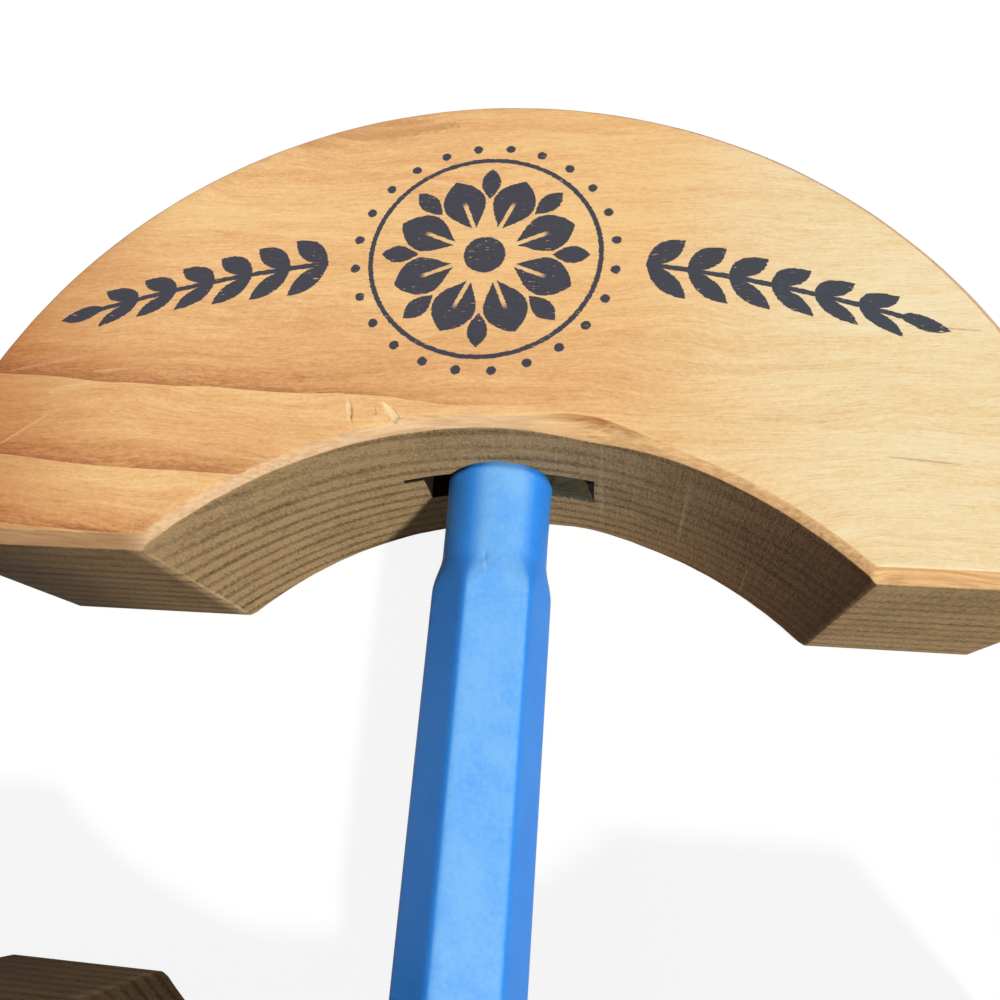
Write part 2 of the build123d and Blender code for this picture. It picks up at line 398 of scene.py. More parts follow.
# wood, mm; a span is two places, from none to full, or with how much there is at each
frontWood = {
    "facing": 1,               # -1 for the block that is turned half round
    "rings": {"Pith": (0, 55.3, 72.1), "Lean": (0, -0.067, 0.005), "Ring Width": 2.95, "Phase": -0.1,
              "Wander": 0.8, "Even From": 66.0, "Inner Shift": 0.76},
    # painted highlight: the rings are made faint towards the right, as if washed out by glare
    "figure": (16.0, -26.0, 0.16, 1.0),    # span of x, and how clear the rings are at each end
    "calmBeyond": (52.0, 60.0, 1.0, 0.15),  # the same along y, towards the rim
    "fibreWave": 9.0,          # how far the fibres stray sideways
    "warmStops": [(0, (253, 210, 148)), (0.3, (243, 190, 130)), (0.7, (222, 162, 106)), (1, (190, 128, 82))],
    # painted highlight: glareStops are a paler copy of the top's colours, and glareFrom the span of x over
    # which they take over, towards the right
    "glareStops": [(0, (255, 236, 194)), (0.3, (249, 222, 170)), (0.7, (236, 194, 138)), (1, (206, 150, 98))],
    "glareFrom": (12.0, 44.0),
    "faceMix": {"rings": 0.78, "cloud": 0.95, "wide": 0.55, "fine": 0.7, "grain": 1.0, "level": 0.2},
    # painted shade: the top's colour darkens towards the far end of this span, standing in for the light
    # falling off there
    "falloffShade": ((-40.0, -72.0), (208, 178, 158)),
    "pores": (30.0, -10.0, 0.08, 0.14),
    "poreColour": (170, 112, 64),
    "smoke": 0.55,             # strength of the brown zone near the rim
    "smokeZone": ((-34, 84.4, 19), (-8, 87.3, 19), 2.6, 1.0),
    "smokeColour": (196, 138, 88),
    "wallLight": (186, 155, 111),
    "wallDark": (98, 74, 48),
    "wallMix": {"rings": 0.6, "blotch": 0.24, "speck": 1.15, "fuzz": 1.0, "lines": 0.34, "level": 0.06},
    # painted shade: the walls facing sideways darken towards the right, where they turn away from the light
    "sideWallShade": ((6.0, 42.0), (208, 184, 168)),
    "upperStripes": (13.0, 6.0, 0.6, 1.0),   # span of z, and how clear the rings are on the walls
    "rightStripes": (4.0, 26.0, 1.0, 0.62),  # the same along x
    "sawColour": (196, 172, 138),
    # painted shade: the end walls darken towards the far left end
    "endWallShade": [((-40.8, -42.6), (186, 180, 172)), ((-46.0, -68.0), (150, 140, 130))],
    "sandedMix": {"rings": 0.42, "blotch": 0.2, "speck": 0.5, "fine": 0.4, "level": 0.22},
    "leftChamfer": [(0.22, (238, 202, 158)), (0.8, (190, 146, 104))],
    "rightChamfer": [(0.22, (255, 211, 150)), (0.8, (182, 122, 74))],
    "chamferMix": {"fine": 0.25, "streak": 0.9, "grain": 0.2, "level": 0.42},
    # painted shade on the outer edge of the arch's chamfer
    "chamferShade": (42.0, 30.0, 0.05, 0.34),  # outer part of the arch's chamfer, at the right
    # painted shade on the chamfer near the left end
    "endChamferShade": ((-37.0, -43.0), (196, 184, 172)),
    "ragged": 1.5,             # how far the torn edge of the arch's chamfer reaches
    # painted shade inside the pocket and the collar's seat
    "pocketPaintedShade": [(50, 35, 21), (30, 21, 12)],
    "ink": (41, 50, 64),
    "inkWorn": (56, 68, 90),
    "inkCover": 0.96,
    "roughness": (0.45, 0.9),  # sanded and sawn
    "relief": {"fine": 0.03, "pores": 0.015, "pale": 0.04,
               "rings": 0.07, "lines": 0.08, "fuzz": 0.08, "speck": 0.07},
    "stamped": True,
    "darkColour": (132, 78, 42),
    "darkMarks": [
        ((48, 56.2, 19), (58, 55.5, 19), 0.2, 0.4),
        ((44, 39.5, 19), (54, 38.6, 19), 0.2, 0.35),
        ((-16.6, 44.6, 19), (-16.0, 41.3, 19), 0.2, 0.5),
        ((-74, 26.9, 19), (-52.2, 26.85, 19), 0.5, 0.5),
        ((-57, 26.9, 19), (-46, 26.85, 19), 0.55, 0.5),
        ((-50, 26.9, 19), (-41.4, 26.85, 19), 0.4, 0.45),
    ],
    "paleColour": (255, 230, 180),
    "paleMarks": [
        ((-62, 37.0, 19), (-55.1, 42.5, 19), 0.26, 0.3),
        ((-52.4, 48.0, 19), (-45.7, 48.7, 19), 0.26, 0.25),
        ((-44.5, 40.7, 19), (-40.1, 38.8, 19), 0.2, 0.2),
        ((-63.5, 47.9, 19), (-53.1, 50.2, 19), 0.26, 0.2),
        ((-42.0, 47.8, 19), (-36.4, 48.0, 19), 0.26, 0.22),
        ((-56.6, 45.0, 19), (-51.3, 46.6, 19), 0.9, 0.2),
        ((-48.6, 33.2, 19), (-43.3, 33.6, 19), 0.24, 0.25),
        ((-17.2, 45.0, 19), (-16.3, 41.2, 18.8), 0.42, 0.9),
        ((-12.7, 44.5, 19), (-10.0, 41.9, 18.7), 0.75, 0.8),
        ((13.0, 41.0, -2.9), (16.4, 40.2, -3.4), 0.2, 0.3),
        ((16.4, 40.2, -3.4), (20.0, 39.3, -6.4), 0.22, 0.35),
        ((13.9, 40.9, 18), (13.9, 40.9, -15), 0.5, 0.12),
        ((24.4, 37.6, 17.5), (25.0, 37.4, -10.7), 0.34, 0.2),
        ((34.1, 32.7, -5.5), (34.5, 32.4, -15.4), 0.26, 0.22),
        ((-32.1, 31.6, 18), (-32.8, 31.1, 11), 0.2, 0.12),
        ((-29.0, 33.5, 17.6), (-29.6, 33.1, 9.4), 0.2, 0.1),
    ],
    "cornerColour": (212, 184, 140),
    "cornerMarks": [
        ((-40.15, 25.0, -18), (-40.15, 25.0, 4), 0.5, 1.0),
        ((-40.15, 25.0, 0), (-40.15, 25.0, 18), 0.42, 1.0),
    ],
}

rearWood = {
    **frontWood,
    "facing": -1,
    "rings": {"Pith": (0, 48.0, 80.0), "Lean": (0, 0.05, -0.03), "Ring Width": 3.1, "Phase": 0.35,
              "Wander": 0.8, "Even From": 74.0, "Inner Shift": 0.5},
    "figure": (70.0, -60.0, 0.5, 0.9),
    "calmBeyond": (70.0, 90.0, 1.0, 0.5),
    # painted highlight: the paler copy takes over along this span
    "glareFrom": (-70.0, 30.0),
    # painted shade towards the far end, as on the front block
    "falloffShade": ((20.0, 70.0), (218, 190, 168)),
    # painted shade on the end walls
    "endWallShade": [((44.0, 46.0), (206, 200, 192)), ((48.0, 68.0), (190, 180, 170))],
    # painted shade on the chamfer near this end
    "endChamferShade": ((50.0, 60.0), (206, 192, 180)),
    # painted shade on the sideways walls, as on the front block
    "sideWallShade": ((-20.0, -44.0), (224, 208, 196)),
    "rightStripes": (4.0, 26.0, 1.0, 0.9),
    "stamped": False,
    "smoke": 0.0,
    "darkMarks": [((-30, 52, 19), (-20, 51.2, 19), 0.16, 0.35), ((18, 70, 19), (30, 71, 19), 0.16, 0.35)],
    "paleMarks": [((22, 47, 19), (29, 52, 19), 0.3, 0.4), ((-48, 40, 19), (-42, 44, 19), 0.25, 0.3)],
}


def makeWood(name, look):
    material, g = newMaterial(name)
    way = look["facing"]
    position = g.coord("Object", (1000 * way, 1000 * way, 1000))
    normal = g.coord("Normal", (way, way, 1))
    x, y, z = g.split(position)
    archMiddle, archRadius = (block["archOffset"], block["archMiddle"], 0), block["archRadius"]
    sides = g.use(faceSorting, {"Normal": normal})
    rings = g.use(growthRings, {"Position": position, **look["rings"]})
    flow = g.noise(position, (0.03, 0.05, 0.05)) - 0.5
    wavy = g.vec("ADD", position, g.join(0.0, flow * look["fibreWave"], 0.0))
    fibre = g.use(woodFibre, {"Position": wavy})
    saw = g.use(sawMarks, {"Position": position, "Middle": archMiddle, "Radius": archRadius})
    fine, wide, fuzz, lines = fibre["Fine"], fibre["Wide"], saw["Fuzz"], saw["Lines"]

    def blended(amounts, **masks):
        # sum of masks, each with its own amount
        parts = [mask * amounts[label] for label, mask in masks.items()]
        return sum(parts[1:], parts[0]) + amounts["level"]

    # painted shade: darkens a colour over a span of x by multiplying in a shade
    def paintShade(base, entry, mask=None):
        span, shade = entry
        amount = g.step(x, *span)
        if mask:
            amount = amount * mask
        return g.mix(amount, base, g.mix(1.0, base, shade, "MULTIPLY"))

    # finished face
    figure = g.step(x, *look["figure"]) * g.step(y, *look["calmBeyond"])
    cloud = g.noise(wavy, (0.02, 0.085, 0.085), 4, 0.6)
    grain = g.noise(wavy, (1.5, 3.6, 3.6), 3, 0.75)
    growth = blended(look["faceMix"], rings=g.calc("POWER", rings["Ring"], 2.4) * figure, cloud=cloud - 0.5,
                     wide=wide - 0.5, fine=fine - 0.5, grain=grain - 0.5)
    # painted highlight: the colours turn to their paler copy towards the right, where glare falls
    face = g.mix(g.step(x + (cloud - 0.5) * 30.0, *look["glareFrom"]),
                 g.ramp(growth, look["warmStops"]), g.ramp(growth, look["glareStops"]))
    # painted shade over a span of x, for the weaker light at the far end
    face = paintShade(face, look["falloffShade"])
    face = g.mix(fibre["Pores"] * g.step(x, *look["pores"]), face, look["poreColour"])
    smoky = lineMarks(g, position, [look["smokeZone"]]) * g.step(wide, 0.35, 0.6, 0.3, 1.0)
    face = g.mix(smoky * look["smoke"], face, look["smokeColour"])

    # sawn walls
    blotch = g.noise(position, (0.1, 0.1, 0.26), 4, 0.62)
    speck = g.noise(position, (2.0, 2.0, 2.4), 2, 0.7)
    spots = g.step(blotch, 0.42, 0.66)
    lateWood = abs(rings["Ring"] - 0.8 + (fuzz - 0.5) * 0.2 + (speck - 0.5) * 0.1)
    stripe = g.step(lateWood, 0.34, 0.04) * g.step(rings["Year"], 0.0, 1.0, 0.7, 1.0)
    stripe = stripe * g.step(z, *look["upperStripes"]) * g.step(x, *look["rightStripes"])
    dark = blended(look["wallMix"], rings=stripe, blotch=spots, speck=speck - 0.5, fuzz=fuzz - 0.5,
                   lines=lines - 0.5)
    wall = g.mix(dark, look["wallLight"], look["wallDark"])
    wall = g.mix(saw["Deep"] * 0.12, wall, look["sawColour"])
    # painted shade on the walls that face sideways, over a span of x
    wall = paintShade(wall, look["sideWallShade"], g.step(abs(g.split(normal)[0]), 0.08, 0.25))
    # painted shade on the end walls, darker towards the far end
    nearEnd = g.step(y, 27.4, 26.6)
    for entry in look["endWallShade"]:
        wall = paintShade(wall, entry, nearEnd)

    # outer wall, sanded like the top
    across = g.vec("NORMALIZE", g.vec("SUBTRACT", position, archMiddle))
    outward = g.step(g.vec("DOT_PRODUCT", normal, across), 0.1, 0.4)
    sanded = blended(look["sandedMix"], rings=stripe, blotch=spots, speck=speck - 0.5, fine=fine - 0.5)
    wall = g.mix(outward, wall, g.ramp(sanded, look["warmStops"]))

    # cut edges, with fibres torn out along the arch's upper one
    streak = g.noise(wavy, (0.07, 2.4, 2.4), 3, 0.6)
    # painted shade along the outer edge of the arch's chamfer, towards the right
    outer = g.step(saw["Reach"], archRadius + 0.9, archRadius + 2.2) * g.step(x, 2.0, 14.0)
    band = blended(look["chamferMix"], fine=fine - 0.5, streak=streak - 0.5, grain=grain - 0.5)
    band = band + outer * g.step(x, *look["chamferShade"])
    left, right = g.ramp(band, look["leftChamfer"]), g.ramp(band, look["rightChamfer"])
    chamfer = g.mix(g.step(x, 0.0, 14.0), left, right)
    # painted shade on the chamfer near the end
    chamfer = paintShade(chamfer, look["endChamferShade"])
    lip = (fine - 0.5) * (2 * look["ragged"]) + (archRadius + block["archChamfer"])
    torn = g.step(saw["Reach"], lip + 0.25, lip) * g.step(x, 16.0, -4.0) * g.step(x, -42.0, -38.0)
    base = g.mix(sides["Flat"], g.mix(sides["Wall"], chamfer, wall), g.mix(torn, face, chamfer))

    # rubbed corners, scores and pale nicks
    rubbedAndSheen = g.step(speck + (blotch - 0.5) * 1.2, 0.25, 0.6, 0.1, 0.8)
    base = g.mix(lineMarks(g, position, look["cornerMarks"]) * rubbedAndSheen, base, look["cornerColour"])
    broken = g.step(wide, 0.3, 0.6, 0.45, 1.0)
    base = g.mix(lineMarks(g, position, look["darkMarks"]) * broken, base, look["darkColour"])
    pale = lineMarks(g, position, look["paleMarks"])
    base = g.mix(pale * 0.8, base, look["paleColour"])

    # painted shade inside the pocket, its saw cut and the collar's seat, where little light reaches
    behind = g.step(saw["Reach"], archRadius + 0.08, archRadius + 0.2)
    inside = g.step(abs(x), 13.7, 13.5) * g.step(y, 50.0, 49.9) * g.step(abs(z), 8.0, 7.6)
    inside = inside * g.most(behind, sides["Flat"])
    base = g.mix(inside, base, g.mix(speck, *look["pocketPaintedShade"]))

    part = look["relief"]      # mm
    smooth, coarse = look["roughness"]
    rough = g.step(g.most(sides["Flat"], outward), 0.0, 1.0, coarse, smooth) + (fine - 0.5) * 0.2
    sawn = stripe * part["rings"] + lines * part["lines"] + fuzz * part["fuzz"] + speck * part["speck"]
    sawn = sawn * g.step(outward, 0.0, 1.0, 1.0, 0.25) * sides["Wall"]
    height = fine * part["fine"] - fibre["Pores"] * part["pores"] + sawn - pale * part["pale"]
    if look["stamped"]:
        stamps = g.use(stampedGarland, {"Position": position, "Bleed": stamp["bleed"]})
        ink = stamps["Ink"] * sides["Flat"] * g.calc("GREATER_THAN", z, 0.0)
        inkColour = g.mix(stamps["Worn"], look["ink"], look["inkWorn"])
        base = g.mix(ink * look["inkCover"], base, inkColour)
        rough = rough + ink * 0.2
    finishSurface(g, base, rough, height, {"Specular IOR Level": 0.22})
    return material


# helpers for meshes
def addPatch(bm, rows):
    grid = [[bm.verts.new(point) for point in row] for row in rows]
    for first, second in zip(grid, grid[1:]):
        for a, b, c, d in zip(first, first[1:], second[1:], second):
            bm.faces.new((a, b, c, d))


def joinPatches(bm):
    bmesh.ops.remove_doubles(bm, verts=bm.verts, dist=1e-6)
    bmesh.ops.recalc_face_normals(bm, faces=bm.faces)


def toMesh(bm, name):
    mesh = bpy.data.meshes.new(name)
    bm.to_mesh(mesh)
    bm.free()
    return mesh


def addObject(name, data):
    thing = bpy.data.objects.new(name, data)
    scene.collection.objects.link(thing)
    return thing


def ringPoint(angle, radius, y):
    # on a circle round the handle's axis, from +Z towards +X
    return Vector((radius * math.sin(angle), y, radius * math.cos(angle))) * mm


def turnedSolid(profile, segments=96):
    # solid of revolution round Y from (radius, y) points, from axis to axis
    angles = [2 * math.pi * (s % segments) / segments for s in range(segments + 1)]
    bm = bmesh.new()
    addPatch(bm, [[ringPoint(angle, radius, y) for radius, y in profile] for angle in angles])
    joinPatches(bm)
    bmesh.ops.dissolve_degenerate(bm, edges=bm.edges, dist=1e-7)
    return toMesh(bm, "turned")


def combine(thing, others, operation="DIFFERENCE"):
    # cut with, or keep what is shared with, objects that then go
    for other in others:
        modifier = thing.modifiers.new("cut", "BOOLEAN")
        modifier.operation = operation
        modifier.solver = "EXACT"
        modifier.object = other
    bpy.context.view_layer.update()
    done = bpy.data.meshes.new_from_object(thing.evaluated_get(bpy.context.evaluated_depsgraph_get()))
    thing.modifiers.clear()
    thing.data = done
    for other in others:
        bpy.data.objects.remove(other)


def turnRound(thing):
    # from the front end to the rear one
    thing.data.transform(Matrix.Rotation(math.pi, 4, "Z"))


def dress(thing, material, limit=28):
    # edges sharper than limit degrees stay crisp
    thing.data.shade_smooth()
    thing.data.set_sharp_from_angle(angle=math.radians(limit))
    thing.data.materials.clear()
    thing.data.materials.append(material)


# block meshes, mm
block = {
    "top": 19.05,
    "halfWidth": 70.0,
    "depth": 66.5,
    "taper": 2.6,
    "bandOffset": -1.4,
    "archRadius": 60.0,
    "archOffset": 1.8,
    "archMiddle": -17.9,
    "endPlace": 25.0,
    "endChamfer": 1.6,
    "rimChamfer": 1.6,
    "archChamfer": 0.95,
    "archWidening": (1.35, 16.5, 9.5),   # extra width, its middle in x, and its spread
    "seat": (7.45, 42.65),      # round hollow for the collar: radius and floor
    "stations": 150,
    "across": 26,
    "levels": 20,
    "firstLevel": 0.6,          # height of the first level below a chamfer
    "edgeRound": 0.22,
    "wave": 0.07,
}

pocket = {
    "middle": 1.3,
    "width": 23.2,
    "height": 8.0,
    "floor": 49.7,
    "kerf": (2.6, 1.0, 45.1),    # length, height and how deep it ends
    "mouth": 20.0,               # where the cutters start, in front of the arch
}


def blockMesh(name, shape, seed):
    top = shape["top"]
    startY = shape["endPlace"]

    def archChamfer(x):
        extra, middle, spread = shape["archWidening"]
        return shape["archChamfer"] + extra * math.exp(-((x - middle) / spread) ** 2)

    def over(z, chamfer):
        # how far a height reaches into the chamfer at either face
        return max(0.0, abs(z) - (top - chamfer))

    def endY(z):
        return startY + over(z, shape["endChamfer"])

    def heights(first):
        # from top to underside; the first two are the chamfer's
        inner = top - first - shape["firstLevel"]
        count = shape["levels"]
        middle = [inner - 2 * inner * k / count for k in range(count + 1)]
        return [top, top - first] + middle + [first - top, -top]

    count = len(heights(1.0))

    def inner(t, k):
        # the chamfer's width follows a rough x, since the exact one depends on it
        x = shape["archOffset"] - shape["archRadius"] * math.cos(math.pi * (0.14 + 0.72 * t))
        chamfer = archChamfer(x)
        z = heights(chamfer)[k]
        radius = shape["archRadius"] + over(z, chamfer)
        first = math.asin((endY(z) - shape["archMiddle"]) / radius)
        angle = math.pi - first - t * (math.pi - 2 * first)
        radius += abs(noise.noise(Vector((t * 30, z * 0.25, seed))) * shape["wave"])
        return Vector((
            shape["archOffset"] + radius * math.cos(angle),
            shape["archMiddle"] + radius * math.sin(angle),
            z,
        ))

    def outer(t, k):
        z = heights(1.0)[k]
        shrink = shape["taper"] * (top - z) / (2 * top) + over(z, shape["rimChamfer"])
        shrink += abs(noise.noise(Vector((t * 40, z * 0.25, seed + 5))) * shape["wave"])
        wide, deep = shape["halfWidth"] - shrink, shape["depth"] - shrink
        first = math.asin((endY(z) - startY) / deep)
        angle = math.pi - first - t * (math.pi - 2 * first)
        return Vector((
            shape["bandOffset"] + wide * math.cos(angle),
            startY + deep * math.sin(angle),
            z,
        ))

    def span(t, k):
        a, b = inner(t, k), outer(t, k)
        return [a.lerp(b, s / shape["across"]) * mm for s in range(shape["across"] + 1)]

    steps = [s / shape["stations"] for s in range(shape["stations"] + 1)]
    levels = range(count)
    bm = bmesh.new()
    for k in (0, count - 1):
        addPatch(bm, [span(t, k) for t in steps])
    for wall in (inner, outer):
        addPatch(bm, [[wall(t, k) * mm for k in levels] for t in steps])
    for t in (0.0, 1.0):
        addPatch(bm, [span(t, k) for k in levels])
    joinPatches(bm)
    sharp = [e for e in bm.edges if e.is_manifold and e.calc_face_angle() > math.radians(20)]
    bmesh.ops.bevel(bm, geom=sharp, offset=shape["edgeRound"] * mm, offset_type="OFFSET", segments=2,
                    profile=0.5, affect="EDGES", clamp_overlap=True)
    return toMesh(bm, name)


def boxCutter(low, high):
    bm = bmesh.new()
    bmesh.ops.create_cube(bm, size=1.0)
    for vert in bm.verts:
        for axis in range(3):
            vert.co[axis] = (low[axis] if vert.co[axis] < 0 else high[axis]) * mm
    return addObject("cutter", toMesh(bm, "cutter"))


def roundCutter(radius, start, end, segments=96):
    return addObject("cutter", turnedSolid([(0, start), (radius, start), (radius, end), (0, end)], segments))


def wedgeCutter(start, end, width, depth):
    # long V-shaped nick in the upper face
    start, end = Vector(start), Vector(end)
    along = (end - start).normalized()
    side = Vector((-along.y, along.x, 0)) * width / 2
    rise = Vector((0, 0, 0.4))
    middle = start.lerp(end, 0.55)
    points = [start + rise, end + rise, middle + side + rise, middle - side + rise]
    points.append(middle - Vector((0, 0, depth)))
    bm = bmesh.new()
    a, b, c, d, e = [bm.verts.new(p * mm) for p in points]
    for face in ((a, d, b, c), (a, c, e), (c, b, e), (b, d, e), (d, a, e)):
        bm.faces.new(face)
    bmesh.ops.recalc_face_normals(bm, faces=bm.faces)
    return addObject("cutter", toMesh(bm, "cutter"))


def chipCutter(place, size, turn, seed):
    # lump that takes a shallow chip out of an edge
    bm = bmesh.new()
    bmesh.ops.create_icosphere(bm, subdivisions=3, radius=1.0)
    spin = Matrix.Rotation(math.radians(turn), 3, "Z")
    for vert in bm.verts:
        rough = 1 + 0.22 * noise.noise(vert.co * 2.1 + Vector((seed, 0, 0)))
        vert.co = (spin @ (vert.co * Vector(size) * rough) + Vector(place)) * mm
    return addObject("cutter", toMesh(bm, "cutter"))


# nicks: start, end, width, depth; chips: place, half sizes, turn in degrees, seed
frontNicks = {
    "cuts": [
        ((-17.0, 45.0, 19.05), (-16.1, 41.2, 19.05), 0.75, 0.55),
        ((-61.5, 37.3, 19.05), (-55.1, 42.5, 19.05), 0.28, 0.1),
    ],
    "chips": [
        ((-11.4, 43.1, 19.3), (0.75, 1.9, 0.5), 38, 1.0),
        ((-13.6, 43.4, 19.35), (0.4, 0.9, 0.42), 20, 2.0),
        ((17.2, 41.0, 19.5), (1.6, 0.35, 0.55), -28, 3.0),
        ((-40.3, 24.75, 6.0), (0.5, 0.45, 1.6), 0, 4.0),
        ((-40.2, 24.75, -9.5), (0.45, 0.42, 1.1), 0, 5.0),
    ],
}

rearNicks = {
    "cuts": [((24.0, 47.0, 19.05), (29.0, 51.5, 19.05), 0.4, 0.2)],
    "chips": [
        ((-30.2, 34.9, 19.4), (1.3, 0.45, 0.55), 24, 7.0),
        ((-40.3, 24.75, -4.0), (0.5, 0.45, 1.8), 0, 8.0),
    ],
}


def addBlock(name, nicks, look, material, seed):
    thing = addObject(name, blockMesh(name, block, seed))
    half, high = pocket["width"] / 2, pocket["height"] / 2
    left, right, mouth = pocket["middle"] - half, pocket["middle"] + half, pocket["mouth"]
    length, thin, depth = pocket["kerf"]
    radius, floor = block["seat"]
    # the kerf starts inside the pocket and stays just off its upper face
    cutters = [
        boxCutter((left, mouth, -high), (right, pocket["floor"], high)),
        boxCutter((left - length, mouth, high - thin), (left + 1, depth, high - 0.01)),
        roundCutter(radius, mouth, floor),
    ]
    cutters += [wedgeCutter(*entry) for entry in nicks["cuts"]]
    cutters += [chipCutter(*entry) for entry in nicks["chips"]]
    combine(thing, cutters)
    if look["facing"] < 0:
        turnRound(thing)
    dress(thing, material)
    return thing


frontBlock = addBlock("frontBlockWood", frontNicks, frontWood, makeWood("frontWood", frontWood), 1.0)
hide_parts("front_block")
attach(frontBlock, "front_half")
rearBlock = addBlock("rearBlockWood", rearNicks, rearWood, makeWood("rearWood", rearWood), 40.0)
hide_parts("rear_block")
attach(rearBlock, "rear_half")
print("wood blocks made")


# handle, mm
handle = {
    "halfLength": 42.5,
    "collarRadius": 7.0,
    "collarLength": 12.0,
    "flareLength": 7.5,
    "gripCorner": 9.2,
    "apothem": 7.1,
    "lean": 12.6,              # degrees
    "cornerPower": 22,         # higher is sharper
    "soften": 0.8,
    "rimSlope": (1.1, 0.5),    # along the handle and inwards
    "rimSwell": (0.22, 10.0),  # extra radius at the rim, and how far back it starts
    "mouthRadius": 5.45,
    "seatDepth": 17.15,
    "boreRadius": 4.32,
    "segments": 168,
    "rowStep": 0.45,
    "rimRows": 8,
    "colour": (56, 150, 255),
    "pale": (64, 158, 255),
    "deep": (50, 142, 252),
    # pale colour of the upper flat: rubbed wear and painted sheen
    "rubbedAndSheen": (164, 224, 255),
    "hair": (170, 214, 250),
    "hairs": [                 # start, end, width, strength
        ((-1.1, 6.2, 7.4), (1.5, 1.6, 6.95), 0.11, 1.0),
        ((2.6, 13.5, 6.7), (3.2, 9.0, 6.6), 0.1, 1.0),
        ((-0.5, 30.0, 7.0), (-0.1, 27.3, 7.2), 0.4, 1.0),
    ],
    "dents": [                 # place, half sizes along x and y, depth
        ((-0.50, 29.3), (0.42, 0.8), 0.22),
        ((-0.05, 27.9), (0.5, 0.5), 0.16),
    ],
}


def handleRadius(angle, y, shape):
    far = shape["halfLength"] - abs(y)
    blend = min(1.0, max(0.0, (far - shape["collarLength"]) / shape["flareLength"]))
    blend = blend * blend * (3 - 2 * blend)
    turned = shape["collarRadius"] + (shape["gripCorner"] - shape["collarRadius"]) * blend
    flats = [math.cos(angle - math.radians(shape["lean"] + 60 * k)) for k in range(6)]
    total = sum(max(0.0, facing) ** shape["cornerPower"] for facing in flats)
    hexagon = shape["apothem"] / total ** (1 / shape["cornerPower"])
    near = max(shape["soften"] - abs(turned - hexagon), 0.0)
    radius = min(turned, hexagon) - near * near / (4 * shape["soften"])
    extra, reach = shape["rimSwell"]
    radius += extra * max(0.0, 1 - far / reach) ** 2
    long, deep = shape["rimSlope"]
    if far < long:
        radius -= deep * (1 - far / long) ** 1.15
    return radius


def dented(point, angle, shape):
    # pushes a point of the upper side in towards the axis
    for (dx, dy), (wide, long), depth in shape["dents"]:
        x, y, z = point
        away = ((x - dx) / wide) ** 2 + ((y - dy) / long) ** 2
        if z > 0 and away < 4:
            push = depth * math.exp(-away * 1.5) * (1 + 0.5 * noise.noise(Vector((x * 3, y * 3, 0))))
            point = point - Vector((math.sin(angle), 0, math.cos(angle))) * push
    return point


def handleMesh(shape):
    half, rimRows = shape["halfLength"], shape["rimRows"]
    rimRound = shape["rimSlope"][0]
    body = half - rimRound
    count = int(2 * body / shape["rowStep"])
    places = [-body + 2 * body * k / count for k in range(count + 1)]
    rim = [half - rimRound * (1 - math.sin(math.pi / 2 * k / rimRows)) for k in range(1, rimRows + 1)]
    outer = [-y for y in reversed(rim)] + places + rim
    seat = half - shape["seatDepth"]
    mouth, bore = shape["mouthRadius"], shape["boreRadius"]
    inside = [(mouth, half), (mouth, seat), (bore, seat), (bore, -seat), (mouth, -seat), (mouth, -half)]
    segments = shape["segments"]
    rows = []
    for s in range(segments + 1):
        angle = 2 * math.pi * (s % segments) / segments
        row = []
        for y in outer:
            radius = handleRadius(angle, y, shape)
            point = Vector((radius * math.sin(angle), y, radius * math.cos(angle)))
            row.append(dented(point, angle, shape) * mm)
        row += [ringPoint(angle, radius, y) for radius, y in inside]
        rows.append(row + [row[0].copy()])
    bm = bmesh.new()
    addPatch(bm, rows)
    joinPatches(bm)
    return toMesh(bm, "handlePlastic")


def makePlastic(look):
    material, g = newMaterial("bluePlastic")
    position = g.coord("Object")
    cloud = g.noise(position, 0.22, 3)
    mottle = g.noise(position, 1.6, 3, 0.6)
    scratches = g.use(fineScratches, {"Position": position})["Scratches"]
    hair = lineMarks(g, position, look["hairs"])
    base = g.mix(g.step(mottle, 0.25, 0.75), look["colour"], look["pale"])
    base = g.mix(g.step(cloud, 0.35, 0.7) * 0.4, base, look["deep"])
    # the upper flat and the top of the collar are painted paler: partly rubbed wear, partly a painted sheen
    # where the highlight falls
    lean = math.radians(look["lean"])
    facing = g.vec("DOT_PRODUCT", g.coord("Normal", (1, 1, 1)), (math.sin(lean), 0, math.cos(lean)))
    rubbedAndSheen = g.step(facing, 0.78, 0.99) * g.step(cloud + mottle * 0.5, 0.4, 1.0, 0.25, 0.5)
    base = g.mix(rubbedAndSheen, base, look["rubbedAndSheen"])
    base = g.mix(hair * 0.3, base, look["hair"])
    rough = g.step(mottle, 0.2, 0.8, 0.4, 0.48) + scratches * 0.06
    height = mottle * 0.01 + g.noise(position, 5.0, 1) * 0.004 - scratches * 0.003 - hair * 0.02
    finishSurface(g, base, rough, height, {"Specular IOR Level": 0.2})
    return material


grip = addObject("handlePlastic", handleMesh(handle))
dress(grip, makePlastic(handle), 35)
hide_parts("handle")
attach(grip, "handle")
print("handle made")


# threaded rods, mm
rod = {
    "radius": 3.97,
    "root": 3.2,
    "pitch": 1.411,
    "start": 2.0,
    "shoulder": 44.9,
    "end": 49.7,
    "tenon": 2.5,
    "tipChamfer": 0.8,
    "segments": 60,
    "overrun": 2.5,            # turns of thread past each end, before it is trimmed
}


